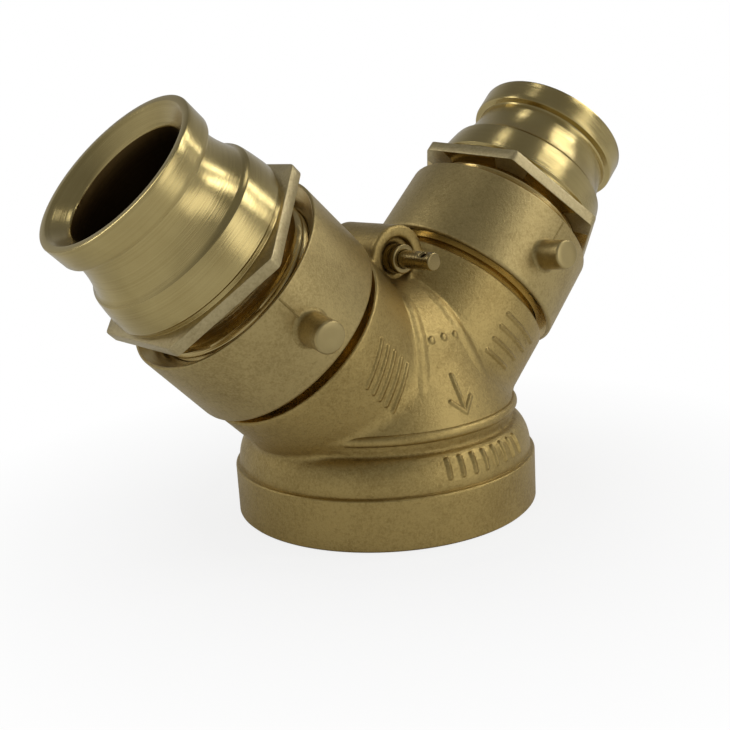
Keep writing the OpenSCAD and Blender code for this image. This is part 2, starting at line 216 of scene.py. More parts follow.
world = bpy.data.worlds.new("studio")
bpy.context.scene.world = world
world.use_nodes = True
sky = world.node_tree
rays = sky.nodes.new("ShaderNodeLightPath")
direction = sky.nodes.new("ShaderNodeTexCoord")
split = sky.nodes.new("ShaderNodeSeparateXYZ")
sky.links.new(direction.outputs["Generated"], split.inputs[0])
height = Socket(sky, split.outputs["Z"])
shown_white = Socket(sky, rays.outputs["Is Camera Ray"]) + Socket(sky, rays.outputs["Is Transmission Ray"])
mirrored = Socket(sky, rays.outputs["Is Glossy Ray"])
ceiling, backdrop, fill_light = 0.20, 0.52, 0.45
room = height.smooth(0.05, 0.75) * (ceiling - backdrop) + backdrop
level = (shown_white + mirrored * room + (1 - mirrored) * (1 - shown_white) * fill_light).clamp(0, 1)
plug(sky, level, sky.nodes["Background"].inputs["Strength"])
sky.nodes["Background"].inputs["Color"].default_value = (1.0, 1.0, 1.0, 1.0)


def softbox(name, place, size, power, aim=(0.0, 0.0, 0.09)):
    """A rectangular lamp at place, turned to face aim, all in metres."""
    lamp = bpy.data.lights.new(name, "AREA")
    lamp.shape = "RECTANGLE"
    lamp.size, lamp.size_y = size
    lamp.energy = power
    made = bpy.data.objects.new(name, lamp)
    out = np.array(place) - np.array(aim)
    out /= np.linalg.norm(out)
    side = np.cross([0, 0, 1], out)
    side /= np.linalg.norm(side)
    stand(made, side, np.cross(out, side), out, place)


softbox("front_lamp", (0.29, -1.07, 0.40), (0.50, 0.80), 1.55)
softbox("side_lamp", (0.60, -0.60, 0.86), (0.20, 0.52), 1.6)
softbox("far_side_lamp", (0.84, -0.34, 0.80), (0.12, 0.46), 1.0)
softbox("back_lamp", (-0.62, 0.58, 0.80), (0.20, 0.60), 1.3)
softbox("overhead_lamp", (0.10, 0.15, 1.18), (0.12, 0.26), 0.3)

# ---- Body casting ----
# One sand-blasted brass casting: a collar for the pipe, a dome and a waist above it, and two
# necks that lean out at the same angle. Its parts run into each other with cast fillets, and
# the faces that meet the swivel rings, the hinge gland and the pipe are turned.

cross_height = 37.6
lean = np.radians(45.0)
collar_radius, collar_height = 70.0, 23.0
waist_radius, waist_height = 60.0, 39.5
lip_height = waist_height + 5.5
neck_radius, neck_cut = 46.3, 69.0
middle_half, middle_height = 24.4, cross_height + 24.4
cast_fillet = 3.0
hinge_height = 113.9
boss_radius, boss_front, boss_back = 14.8, -17.0, 19.0
counterbore_radius, counterbore_floor = 9.5, -13.5


def inlet_frame(side):
    """The unit vectors across, back and out along one inlet; side is -1 for left and 1 for right."""
    across = np.array([np.cos(lean), 0.0, -side * np.sin(lean)])
    out = np.array([side * np.sin(lean), 0.0, np.cos(lean)])
    return across, np.array([0.0, 1.0, 0.0]), out


def from_inlet(points, side):
    """Points given across, back and out along an inlet, turned to the body's own directions."""
    return points @ np.array(inlet_frame(side)) + np.array([0.0, 0.0, cross_height])


def round_inlet(points, side):
    """How far the body's points lie from an inlet's axis, and how far out along it."""
    along = (points - np.array([0.0, 0.0, cross_height])) @ np.array(inlet_frame(side)).T
    return np.hypot(along[:, 0], along[:, 1]), along[:, 2]


def blend_depth(first, second, reach):
    """Joins two distance fields with a fillet: the smaller, rounded where they are within reach."""
    share = np.clip(0.5 + 0.5 * (second - first) / reach, 0, 1)
    return second + (first - second) * share - reach * share * (1 - share)


def cut_depth(solid, hole, reach):
    """Takes one distance field out of another, with an eased edge."""
    return -blend_depth(-solid, hole, reach)


def outline_depth(radius, height, outline):
    """Signed distance from points (radius, height) to a closed outline turned about the vertical axis."""
    start, end = outline, np.roll(outline, -1, axis=0)
    nearest = np.full(radius.shape, 1e9)
    inside = np.zeros(radius.shape, bool)
    for (r0, z0), (r1, z1) in zip(start, end):
        run_r, run_z = r1 - r0, z1 - z0
        share = np.clip(((radius - r0) * run_r + (height - z0) * run_z) / (run_r**2 + run_z**2), 0, 1)
        nearest = np.minimum(nearest, np.hypot(radius - r0 - share * run_r, height - z0 - share * run_z))
        crosses = (z0 > height) != (z1 > height)
        if z1 != z0:
            inside ^= crosses & (radius < run_r * (height - z0) / run_z + r0)
    return np.where(inside, -nearest, nearest)


def arc(centre, size, first, last, steps):
    """Points of an arc about centre, from the first angle to the last, in degrees."""
    turn = np.radians(np.linspace(first, last, steps))
    return np.stack([centre[0] + size * np.cos(turn), centre[1] + size * np.sin(turn)], 1)


def near(radius, distance, *steps):
    """Outline points, each given as its step from the point (radius, distance)."""
    return [(radius + wide, distance + far) for wide, far in steps]


dome_width = collar_radius - 1.9 - waist_radius
dome_turn = np.radians(np.linspace(0, 90, 9))
skirt_rise, skirt_flare = 38.0, 18.7
skirt_share = np.linspace(0.2, 1, 9)
skirt_z = lip_height + skirt_rise * skirt_share
skirt_outline = np.concatenate([
    [(-20.0, 0.02), (collar_radius - 0.7, 0.02)],
    near(collar_radius, collar_height, (-0.7, -1.6), (-2.5, -0.6)),
    np.stack([waist_radius + dome_width * np.cos(dome_turn),
              collar_height + 0.5 + (waist_height - collar_height - 2) * np.sin(dome_turn)], 1),
    [(waist_radius, waist_height)],
    arc((waist_radius + 0.2, lip_height), 1.6, -60, 60, 7),
    np.stack([np.sqrt(neck_radius**2 - (skirt_z - middle_height)**2) + skirt_flare * (1 - skirt_share)**1.8,
              skirt_z], 1),
    [(-20.0, lip_height + skirt_rise)],
])

swing_radius = seat_distance = (hinge_height - cross_height) * np.sin(lean)
chamber_radius, seat_face = 37.0, seat_distance + 5.9
neck_bore, seat_recess = 31.0, 35.5
bore_radius, bore_top = 56.2, 25.0
pocket_half, pocket_radius, slot_radius = 6.9, 9.2, 29.0
packing_radius, packing_floor = 6.55, -8.8
pin_bore, pin_bore_end = 4.05, 14.9


def casting_outside(points):
    """Signed distance to the casting's outside, in millimetres, with every cast fillet in it."""
    x, y, z = points.T
    skirt = outline_depth(np.hypot(x, y), z, skirt_outline)
    housing = np.maximum(np.hypot(y, z - middle_height) - neck_radius, np.abs(x) - middle_half)
    for side in (-1, 1):
        radius, out = round_inlet(points, side)
        neck = np.maximum(radius - neck_radius, np.maximum(out - neck_cut, -out))
        housing = blend_depth(housing, neck, 0.6)
    solid = blend_depth(housing, skirt, cast_fillet)
    boss_r = np.hypot(x, z - hinge_height)
    boss = cut_depth(cut_depth(boss_r - boss_radius, y - boss_front, 1.0), boss_back - y, 1.5)
    return blend_depth(solid, boss, cast_fillet)


def casting_hollow(points):
    """Signed distance to everything cut or cored out of the casting: less than 0 is inside a hollow."""
    x, y, z = points.T
    level = np.hypot(x, y)
    passage_outline = np.array([
        (-20.0, -5.0), (62.0, -5.0), (54.0, 3.0), (bore_radius, 3.0), (bore_radius, bore_top), (51.0, 26.6),
        (51.0, waist_height), (chamber_radius, waist_height + 16), (-20.0, waist_height + 16)])
    hollow = outline_depth(level, z, passage_outline)
    hinge_r = np.hypot(x, z - hinge_height)
    swept = np.hypot(hinge_r - swing_radius, y) - chamber_radius
    slot = hinge_r - slot_radius
    for side in (-1, 1):
        radius, out = round_inlet(points, side)
        swept = np.maximum(swept, out - seat_distance)
        slot = np.maximum(slot, out - seat_face)
        sleeve = np.maximum(radius - chamber_radius - 0.8,
                            np.maximum(seat_distance - 14 - out, out - seat_face))
        recess = np.maximum(radius - seat_recess, np.maximum(seat_face - 1 - out, out - seat_face - 6))
        bore = np.maximum(radius - neck_bore, seat_face - 1 - out)
        for part in (sleeve, recess, bore):
            hollow = np.minimum(hollow, part)
    pocket = np.maximum(np.minimum(slot, hinge_r - pocket_radius), np.abs(y) - pocket_half)
    counterbore = np.maximum(hinge_r - counterbore_radius, y - counterbore_floor)
    gland_hole = np.maximum(hinge_r - packing_radius, y - packing_floor)
    pin_hole = np.maximum(hinge_r - pin_bore, y - pin_bore_end)
    for part in (swept, pocket, counterbore, gland_hole, pin_hole):
        hollow = np.minimum(hollow, part)
    return hollow


def casting_depth(points):
    """Signed distance to the finished casting: its outside with the hollows taken out."""
    return cut_depth(casting_outside(points), casting_hollow(points), 0.5)


def slope(field, points, reach=0.05):
    """The field's gradient, from its values reach away on both sides along each direction."""
    return np.stack([(field(points + direction) - field(points - direction)) / (2 * reach)
                     for direction in np.eye(3) * reach], 1)


def settle(field, points, rounds=4, most=0.6):
    """Moves points onto the surface where the field is 0, down its slope, by at most this much a round."""
    for _ in range(rounds):
        steepest = slope(field, points)
        length = np.maximum((steepest**2).sum(1), 0.05)
        move = -field(points)[:, None] * steepest / length[:, None]
        size = np.linalg.norm(move, axis=1, keepdims=True)
        points = points + move * np.minimum(1, most / np.maximum(size, 1e-9))
    return points


def skin(field, low, high, step):
    """Closed quads round the space where the field is below 0: each cell of a cubic grid that the
    surface crosses gets one point, the mean of its crossings, and each crossed edge joins four."""
    axes = [np.arange(a, b + step, step) for a, b in zip(low, high)]
    count = np.array([len(axis) for axis in axes])
    values = np.empty(count, np.float64)
    level = np.stack(np.meshgrid(axes[1], axes[2], indexing="ij"), -1).reshape(-1, 2)
    for i, x in enumerate(axes[0]):
        values[i] = field(np.column_stack([np.full(len(level), x), level])).reshape(count[1:])
    inside = values < 0
    corners = np.array([(i, j, k) for i in (0, 1) for j in (0, 1) for k in (0, 1)])
    total = sum(inside[i:count[0] - 1 + i, j:count[1] - 1 + j, k:count[2] - 1 + k].astype(np.int8)
                for i, j, k in corners)
    cells = np.argwhere((total > 0) & (total < 8))
    number = np.full(count, -1)
    number[tuple(cells.T)] = np.arange(len(cells))
    at = [values[tuple((cells + corner).T)] for corner in corners]
    found = np.zeros((len(cells), 3))
    crossings = np.zeros(len(cells))
    for a in range(8):
        for b in range(a + 1, 8):
            if np.abs(corners[a] - corners[b]).sum() == 1:
                crossed = (at[a] < 0) != (at[b] < 0)
                share = np.where(crossed, at[a] / np.where(crossed, at[a] - at[b], 1), 0)
                found += crossed[:, None] * (corners[a] + share[:, None] * (corners[b] - corners[a]))
                crossings += crossed
    points = np.array(low) + step * (cells + found / crossings[:, None])
    faces = []
    for axis in range(3):
        others = [(axis + 1) % 3, (axis + 2) % 3]
        one, two = np.eye(3, dtype=int)[others]
        edges = np.argwhere(inside != np.roll(inside, -1, axis))
        edges = edges[(edges[:, axis] < count[axis] - 1) & (edges[:, others] > 0).all(1)]
        around = [number[tuple((edges - shift).T)] for shift in (one + two, two, 0, one)]
        quads = np.stack(around, 1)
        leaves = inside[tuple(edges.T)]
        faces.append(np.where(leaves[:, None], quads, quads[:, ::-1]))
    return settle(field, points), np.concatenate(faces).tolist()


def piece_from(name, points, faces, *finishes):
    """A new piece from points in millimetres and lists of corners, shaded smooth."""
    mesh = bpy.data.meshes.new(name)
    mesh.from_pydata((points * mm).tolist(), [], faces)
    mesh.validate()
    for finish in finishes:
        mesh.materials.append(finish.material)
    mesh.shade_smooth()
    made = bpy.data.objects.new(name, mesh)
    bpy.context.scene.collection.objects.link(made)
    return made


def outward_from(field, points):
    """Unit vectors straight up the field's slope."""
    steepest = slope(field, points)
    return steepest / np.maximum(np.linalg.norm(steepest, axis=1, keepdims=True), 1e-9)


def corner_shade(field, points, reach):
    """0 where the surface is flat or crowned and 1 deep in a corner: how much nearer than reach
    the surface still is, reach away from the point along its normal. Its value is how much painted shade a
    corner gets."""
    return np.clip(1 - field(points + outward_from(field, points) * reach) / reach, 0, 1)


def store(piece, name, values):
    """Keeps one number for each point on the mesh, for its material to read."""
    piece.data.attributes.new(name, "FLOAT", "POINT").data.foreach_set("value", values.astype(np.float32))


def cast_brass(name, base, darker_colour, grain=1.0):
    """Sand-blasted cast brass: fine grain, faint cloudy tone, and painted shade, darker and browner, in the
    hollows.
    """
    finish = Finish(name, Metallic=1.0)
    hollow = finish.attribute("hollow")
    clouds = finish.noise(0.045, 3.0)
    grit = finish.noise(1.0, 4.0, 0.7)
    pits = finish.noise(0.4, 3.0, 0.6)
    # Painted shade: the hollow attribute darkens the colour in corners and fillets; clouds, grit and pits are
    # the brass's own tone.
    shade = (hollow * 0.5 + (clouds - 0.5) * 0.9 + (grit - 0.5) * 1.5 + (pits - 0.5) * 0.8 + 0.15).clamp(0, 1)
    finish.set(Base_Color=finish.mix(shade, base, darker_colour),
               Roughness=(0.40 + hollow * 0.12 + (clouds - 0.5) * 0.12 + (grit - 0.5) * 0.3).clamp(0.25, 0.7))
    finish.bump(grit + pits * 0.8, 0.27 * grain, 0.7)
    return finish


brass_pale = (0.46, 0.34, 0.128)
# The darker colour serves both the grain and the painted shade in the hollows.
brass_grain_and_shade = (0.22, 0.145, 0.042)
body_finish = cast_brass("sand_blasted_brass", brass_pale, brass_grain_and_shade)
grid_step = 1.25

body_points, body_faces = skin(casting_depth, (-95.3, -72.3, -1.3), (95.3, 72.3, 132.3), grid_step)
body_piece = piece_from("cast_body", body_points, body_faces, body_finish)
# Painted shade: the body's corners and fillets are darkened in its colour by how deep they lie.
store(body_piece, "hollow", corner_shade(casting_depth, body_points, 4.0))
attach(body_piece, "body")
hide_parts("body_casting")


# ---- Raised marks on the casting ----
# Plain raised marks cast with the body: a row of slanting bars on each neck, three dots and an
# arrow between the necks, and a row of short bars round the shoulder above the collar.


def at_turn(sideways, out, distance, turn):
    """Points this far sideways and outwards on a line turned this far from the front, and this far
    along the axis that it turns about."""
    angle = np.radians(turn)
    return np.stack([out * np.sin(angle) + sideways * np.cos(angle),
                     -out * np.cos(angle) + sideways * np.sin(angle), distance], -1)


def neck_point(side, distance, turn):
    """A point on a neck's surface, this far along the inlet and turned this far from the front."""
    return from_inlet(at_turn(0.0, neck_radius, distance, turn), side)


def raised_bar(start, end, width=1.8, height=0.9):
    """A closed bar with a rounded crown and a foot that runs out level with the casting. Each loop is
    a stadium round the line from start to end, settled on the surface and lifted along its normal."""
    along = np.linspace(0, 1, 13)
    bend = np.linspace(-90, 90, 9)[1:-1]
    loop_share = np.concatenate([along, np.ones(len(bend)), along[::-1], np.zeros(len(bend))])
    straight = np.full(len(along), 90)
    loop_turn = np.radians(np.concatenate([straight, bend[::-1], -straight, 180 - bend]))
    middle = settle(casting_outside, np.array([(start + end) / 2]), 8)
    normal = outward_from(casting_outside, middle)[0]
    run = end - start
    run = run - normal * (run @ normal)
    run /= max(np.linalg.norm(run), 1e-9)
    across = np.cross(normal, run)
    half = width / 2
    levels = [(half + 0.9, -0.8), (half + 0.9, -0.05), (half + 0.45, 0.03), (half + 0.15, 0.22),
              (half - 0.12, 0.56), (half - 0.4, 0.83), (half - 0.75, 0.96), (0.05, 1.0)]
    reach, lift = np.array(levels).T[:, :, None, None]
    centre = start + loop_share[None, :, None] * (end - start)
    spread = np.cos(loop_turn)[None, :, None] * run + np.sin(loop_turn)[None, :, None] * across
    grid = centre + reach * spread
    flat = settle(casting_outside, grid.reshape(-1, 3), 6)
    outward = outward_from(casting_outside, flat)
    return flat.reshape(grid.shape) + outward.reshape(grid.shape) * lift * height


def piece_of(name, grids, *finishes, filled=False, sharp=35.0):
    """A closed piece made of grids (rows, columns, 3), each closed round its columns. Its rows close
    on themselves too or, if filled, its end rows are filled by a fan to their mean point. Faces are
    turned outwards, and edges past the sharp angle are left crisp."""
    points, faces, base = [], [], 0
    for grid in grids:
        rows, columns = grid.shape[:2]
        number = base + np.arange(rows * columns).reshape(rows, columns)
        if filled:
            ends = base + rows * columns + np.arange(2)
            number = np.concatenate([np.full((1, columns), ends[0]), number, np.full((1, columns), ends[1])])
            points += [grid.reshape(-1, 3), grid[[0, -1]].mean(1)]
            base += 2
        else:
            points.append(grid.reshape(-1, 3))
        base += rows * columns
        ahead = np.roll(number, -1, 1)
        quads = np.stack([number, ahead, np.roll(ahead, -1, 0), np.roll(number, -1, 0)], -1)
        faces.append(quads[:-1 if filled else None].reshape(-1, 4))
    corners = [tuple(dict.fromkeys(face)) for face in np.concatenate(faces).tolist()]
    made = piece_from(name, np.concatenate(points), corners, *finishes)
    work = bmesh.new()
    work.from_mesh(made.data)
    if filled:
        bmesh.ops.remove_doubles(work, verts=work.verts, dist=2e-6)
    bmesh.ops.recalc_face_normals(work, faces=work.faces)
    work.to_mesh(made.data)
    work.free()
    made.data.set_sharp_from_angle(angle=np.radians(sharp))
    return made


marks = []
for step in range(5):
    distance = 61.0 - 4.6 * step
    marks.append(raised_bar(neck_point(-1, distance, 12), neck_point(-1, distance - 6.0, -12)))
for step in range(4):
    distance = 41.0 + 6.6 * step
    marks.append(raised_bar(neck_point(1, distance, -9), neck_point(1, distance + 1.0, 10 + 4 * step)))
for turn in np.linspace(-17, 21, 8):
    marks.append(raised_bar(at_turn(0.0, 67.5, 28.5, turn), at_turn(0.0, 64.0, 35.0, turn)))
for step in range(3):
    spot = np.array([-6.5 + 7.0 * step, -42.0, 81.0])
    marks.append(raised_bar(spot, spot + (0.0, 0.0, 0.3), 3.0))
arrow_tip = np.array([-3.0, -56.0, 50.5])
for tail in ((0.0, 5.0, 16.5), (-5.5, 1.5, 6.0), (5.5, 1.5, 6.0)):
    marks.append(raised_bar(arrow_tip + tail, arrow_tip))
marks_piece = piece_of("cast_marks", marks, body_finish, filled=True, sharp=80)
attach(marks_piece, "body")
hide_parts("body_casting")


# ---- Neck ends ----
# The end of each neck is turned on the casting: a square shoulder, then the journal that carries
# the swivel ring, with its half of the ball race. It starts just inside the cast neck.


def whole_turn(columns):
    """Equal turns once round, in radians."""
    return np.linspace(0, 2 * np.pi, columns, endpoint=False)


def about_axis(radius, turn, distance):
    """Points at these radii and turns about the third axis, and this far along it."""
    return np.stack(np.broadcast_arrays(radius * np.cos(turn), radius * np.sin(turn), distance), -1)


def carried_round(outline, columns):
    """The grid (rows, columns, 3) of an outline of (radius, distance) turned about the third axis."""
    radius, distance = np.asarray(outline, float).T[:, :, None]
    return about_axis(radius, whole_turn(columns), distance)


def on_inlet(grid, side):
    """A grid whose third axis runs out along an inlet, placed on that inlet."""
    return from_inlet(grid.reshape(-1, 3), side).reshape(grid.shape)


def refinish(piece, number, side, chosen):
    """Gives this one of the piece's finishes to the faces that are chosen by how far their middles
    lie from an inlet's axis and out along it."""
    middles = np.empty(len(piece.data.polygons) * 3, np.float32)
    finishes = np.empty(len(piece.data.polygons), np.int32)
    piece.data.polygons.foreach_get("center", middles)
    piece.data.polygons.foreach_get("material_index", finishes)
    picked = chosen(*round_inlet(middles.reshape(-1, 3) / mm, side))
    piece.data.polygons.foreach_set("material_index", np.where(picked, number, finishes).astype(np.int32))


def turned_brass(name, axis, start, base, darker_colour, roughness=0.2, relief=1.0):
    """Lathe-turned brass: fine rings at right angles to the axis, in tone, gloss and relief, which
    draw each highlight out along the piece."""
    finish = Finish(name, Metallic=1.0)
    distance = finish.along(axis, start)
    rings, fine = [finish.noise(1.0, 2.0, 0.6, finish.node("ShaderNodeCombineXYZ", {"X": distance * lumps}))
                   for lumps in (1.1, 3.6)]
    clouds = finish.noise(0.05, 3.0)
    shade = ((rings - 0.5) * 1.1 + (fine - 0.5) * 0.6 + (clouds - 0.5) * 1.1 + 0.3).clamp(0, 1)
    finish.set(Base_Color=finish.mix(shade, base, darker_colour),
               Roughness=(roughness + (rings - 0.5) * 0.10 + (clouds - 0.5) * 0.10).clamp(0.1, 0.6))
    finish.bump(fine + rings, 0.10 * relief, 0.6)
    return finish


turned_pale = (0.56, 0.45, 0.20)
turned_dull = (0.36, 0.27, 0.10)
sides = {-1: "left", 1: "right"}
turned_finish, gap_bounce_finish, bore_shade_finish = {}, {}, {}
for side, word in sides.items():
    along_inlet = (inlet_frame(side)[2], (0, 0, cross_height))
    turned_finish[side] = turned_brass("turned_brass_" + word, *along_inlet, turned_pale, turned_dull)
    # The gap faces are turned brass too, in a brighter, browner colour: painted reflected light, for light
    # bouncing between the parts in the gaps.
    gap_bounce_finish[side] = turned_brass("painted_bounce_brass_" + word, *along_inlet, (0.65, 0.505, 0.225),
                                       (0.34, 0.25, 0.10), 0.2)
    # The waterway bores are a dark copy of the turned brass: painted shade down the inside of each bore.
    bore_shade_finish[side] = turned_brass("painted_bore_shade_" + word, *along_inlet, (0.20, 0.13, 0.05),
                                     (0.10, 0.06, 0.02), 0.35, 0.4)

neck_seam, neck_end = 66.0, 71.0
journal_radius, journal_end = 40.0, 92.5
race_distance, race_radius = 84.3, 2.65
shoulder_corner = arc((neck_radius + 0.02 - 1.3, neck_end - 1.3), 1.3, 0, 90, 6)
journal_race = arc((journal_radius, race_distance), race_radius, 90, 270, 11)
neck_end_outline = np.concatenate([
    [(neck_bore + 0.4, neck_seam)],
    near(neck_bore, neck_cut, (0.4, 0.6), (0, 1.0)),
    near(neck_bore, journal_end, (0, -0.5), (0.5, 0)),
    near(journal_radius, journal_end, (-0.7, 0), (0, -0.7)),
    journal_race,
    near(journal_radius, neck_end, (0, 0.7), (0.2, 0.2), (0.7, 0)),
    shoulder_corner[::-1],
    [(neck_radius + 0.02, neck_seam + 0.5), (neck_radius - 0.4, neck_seam)],
])
for side, word in sides.items():
    neck = piece_of("neck_end_" + word, [on_inlet(carried_round(neck_end_outline, 200), side)],
                    body_finish, gap_bounce_finish[side])
    refinish(neck, 1, side, lambda radius, out: radius < neck_radius - 0.9)
    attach(neck, "body")
    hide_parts("body_casting")


# ---- Seams and bead of the casting ----
# A low soft seam runs down from the boss beside each neck, front and back, and a rounded bead
# runs round the top of the shoulder above the collar.

seam_half, seam_rise, seam_apart, seam_spread = 4.0, 0.72, 17.5, 0.28
seam_top, seam_bottom = 103.5, 52.0


def seam_grid(side, front):
    """A low ridge beside one neck: stations down the casting, each with the section of the ridge
    across it, a cosine squared, raised along the casting's normal and sunk below it at both ends."""
    height = np.linspace(seam_top, seam_bottom, 52)
    line = np.stack([side * (seam_apart - seam_spread * (height - middle_height)),
                     front * np.sqrt(neck_radius**2 - (height - middle_height)**2), height], 1)
    run = np.gradient(line, axis=0)
    run /= np.linalg.norm(run, axis=1, keepdims=True)
    flat = settle(casting_outside, line, 6)
    outward = outward_from(casting_outside, flat)
    across = np.cross(run, outward)
    share = np.linspace(0, 1, len(height))
    fade = np.clip(np.minimum(share * 6, (1 - share) * 3), 0, 1)[:, None, None]
    foot = np.linspace(-seam_half, seam_half, 15)
    crown = seam_rise * np.cos(np.pi * foot / (2 * seam_half))**2 - 0.05
    section = np.concatenate([[(-seam_half, -1.2)], np.stack([foot, crown], 1), [(seam_half, -1.2)]])
    aside, lift = section.T[:, None, :, None]
    lift = lift * np.where(lift > 0, fade, 1) - 0.3 * (1 - fade)
    spread = flat[:, None] + across[:, None] * aside
    base = settle(casting_outside, spread.reshape(-1, 3), 4).reshape(spread.shape)
    return base + outward[:, None] * lift


seams = [seam_grid(side, front) for side in (-1, 1) for front in (-1, 1)]
seams_piece = piece_of("cast_seams", seams, body_finish, filled=True, sharp=60)
bead_outline = np.concatenate([[(57.0, 41.0), (59.9, 41.6)], arc((60.0, 45.1), 2.5, -75, 80, 13),
                               [(57.0, 48.1)]])
bead = piece_of("shoulder_bead", [carried_round(bead_outline, 260)], body_finish, sharp=60)
for piece in (seams_piece, bead):
    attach(piece, "body")
    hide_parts("body_casting")


# ---- Collar rim ----
# The collar's rim and bottom edge are turned after casting and then blasted with the rest. The
# dome starts behind a crisp step at its top.

rim_outline = np.concatenate([
    [(collar_radius - 4, 0.0), (collar_radius - 0.8, 0.0), (collar_radius, 0.8)],
    [(collar_radius, z) for z in (6.0, 12.0, 18.0)],
    arc((collar_radius - 1.0, collar_height - 1.1), 1.0, 0, 85, 7),
    near(collar_radius, collar_height, (-1.75, -0.02), (-1.95, 0.15), (-1.9, 0.5), (-1.93, 1.6),
         (-2.6, 1.7), (-4, 0)),
])
rim = piece_of("collar_rim", [carried_round(rim_outline, 260)], body_finish)
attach(rim, "body")
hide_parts("body_casting")


# ---- Swivel rings ----
# A cast and sand-blasted brass ring runs on balls round each neck and draws the adapter in on its
# thread. Its mouth is chamfered and bright from the tool, and two round lugs take a pin spanner.

ring_back, ring_mouth = 76.1, 114.4
ring_outer_back, ring_outer_mouth = 48.4, 47.7
ring_run, ring_thread = 40.3, 39.05
ring_step, ring_cone = 92.9, 46.5
lug_radius, lug_tip, lug_distance, lug_fillet = 6.65, 62.0, 94.6, 1.9
lug_turns = {-1: -9.7, 1: -7.9}


def eased(outline, reach, steps=4):
    """An outline with each corner rounded: the corner is left reach before it and rejoined reach
    after it, along the curve (1-t)^2 A + 2t(1-t) P + t^2 B. reach may be one number or one a corner."""
    outline = np.asarray(outline, float)
    reach = np.broadcast_to(reach, len(outline))
    before, after = np.roll(outline, 1, 0), np.roll(outline, -1, 0)
    rounded = []
    share = np.linspace(0, 1, steps + 1)[:, None]
    for a, p, b, cut in zip(before, outline, after, reach):
        if cut == 0:
            rounded.append(p[None])
            continue
        to_a, to_b = a - p, b - p
        start = p + to_a * min(cut / np.linalg.norm(to_a), 0.45)
        end = p + to_b * min(cut / np.linalg.norm(to_b), 0.45)
        rounded.append((1 - share)**2 * start + 2 * share * (1 - share) * p + share**2 * end)
    return np.concatenate(rounded)


def parting_line(turn):
    """The thin raised line that the mould's joint leaves on the ring, from the lug to the mouth."""
    distance = np.linspace(lug_distance + 6.0, ring_mouth - 0.8, 10)[:, None]
    share = (distance - ring_back) / (ring_mouth - ring_back)
    seat = ring_outer_back + (ring_outer_mouth - ring_outer_back) * share
    around = whole_turn(10)
    return at_turn(*np.broadcast_arrays(0.55 * np.cos(around), seat + 0.3 * np.sin(around), distance), turn)


def lug_grid(turn):
    """A lug's grid: levels up a round post whose foot follows the ring and fillets into it."""
    seat = (ring_outer_back + ring_outer_mouth) / 2 - 0.02
    top = lug_tip - seat
    bend = np.radians(np.linspace(270, 180, 7))
    fillet = np.stack([lug_radius + lug_fillet * (1 + np.cos(bend)), lug_fillet * (1 + np.sin(bend)),
                       1 - 0.3 * (1 + np.sin(bend))], 1)
    levels = np.concatenate([[(lug_radius + lug_fillet, -2.5, 1.0)], fillet, [
        (lug_radius, lug_fillet + 1.5, 0.35), (lug_radius - 0.05, (lug_fillet + top) / 2, 0.0),
        (lug_radius - 0.05, top - 1.1, 0.0), (lug_radius - 0.15, top - 0.65, 0.0),
        (lug_radius - 0.5, top - 0.2, 0.0), (lug_radius - 1.0, top, 0.0), (lug_radius * 0.5, top, 0.0)]])
    radius, height, follow = levels.T[:, :, None]
    around = whole_turn(64)
    sideways, lengthways = radius * np.cos(around), radius * np.sin(around)
    drop = np.sqrt(seat**2 - sideways**2) - seat
    taper = (ring_outer_mouth - ring_outer_back) / (ring_mouth - ring_back) * lengthways
    return at_turn(sideways, seat + height + follow * (drop + taper), lug_distance + lengthways, turn)


ring_cast = cast_brass("sand_blasted_ring", (0.48, 0.37, 0.16), (0.25, 0.18, 0.062), 0.7)
ring_race = arc((ring_run, race_distance), race_radius, -90, 90, 9)
ring_edges = [(ring_run, ring_back + 1), (ring_run + 1, ring_back), (ring_outer_back, ring_back),
              (ring_outer_mouth, ring_mouth), (ring_cone, ring_mouth),
              (ring_thread, ring_mouth - ring_cone + ring_thread), (ring_thread, ring_step),
              (ring_run, ring_step)]
ring_outline = np.concatenate([eased(ring_edges, [0, 0, 1.8, 0.7, 0.25, 0.3, 0, 0]), ring_race[::-1]])
for side, word in sides.items():
    lug_axis = -at_turn(0.0, 1.0, 0.0, lug_turns[side]) @ np.array(inlet_frame(side))
    lug_tip_finish = turned_brass("sawn_brass_" + word, lug_axis, (0, 0, cross_height), (0.50, 0.40, 0.19),
                                  (0.26, 0.19, 0.07), 0.38, 2.0)
    ring = piece_of("swivel_ring_body_" + word, [on_inlet(carried_round(ring_outline, 220), side)],
                    ring_cast, gap_bounce_finish[side])
    refinish(ring, 1, side, lambda radius, out: radius < ring_cone + 0.1)
    posts = [on_inlet(shape(lug_turns[side] + half_turn), side)
             for shape in (lug_grid, parting_line) for half_turn in (0, 180)]
    lugs = piece_of("swivel_lugs_" + word, posts, ring_cast, lug_tip_finish, filled=True, sharp=60)
    refinish(lugs, 1, side, lambda radius, out: radius > lug_tip - 0.12)
    # Painted shade: each lug's colour darkens towards its foot, where it meets the ring.
    spots = np.empty(len(lugs.data.vertices) * 3, np.float32)
    lugs.data.vertices.foreach_get("co", spots)
    radius = round_inlet(spots.reshape(-1, 3) / mm, side)[0]
    store(lugs, "hollow", np.clip(1 - (radius - ring_outer_back) / 4, 0, 1) * 0.8)
    for piece in (ring, lugs):
        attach(piece, "inlet_" + word)
        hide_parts("swivel_ring_" + word)


# ---- Adapters ----
# Each adapter is turned from a brass bar with a hexagon left on it. Its thread screws into the
# swivel ring; a coupler slides over its nose and closes its cams in the groove behind the nose.

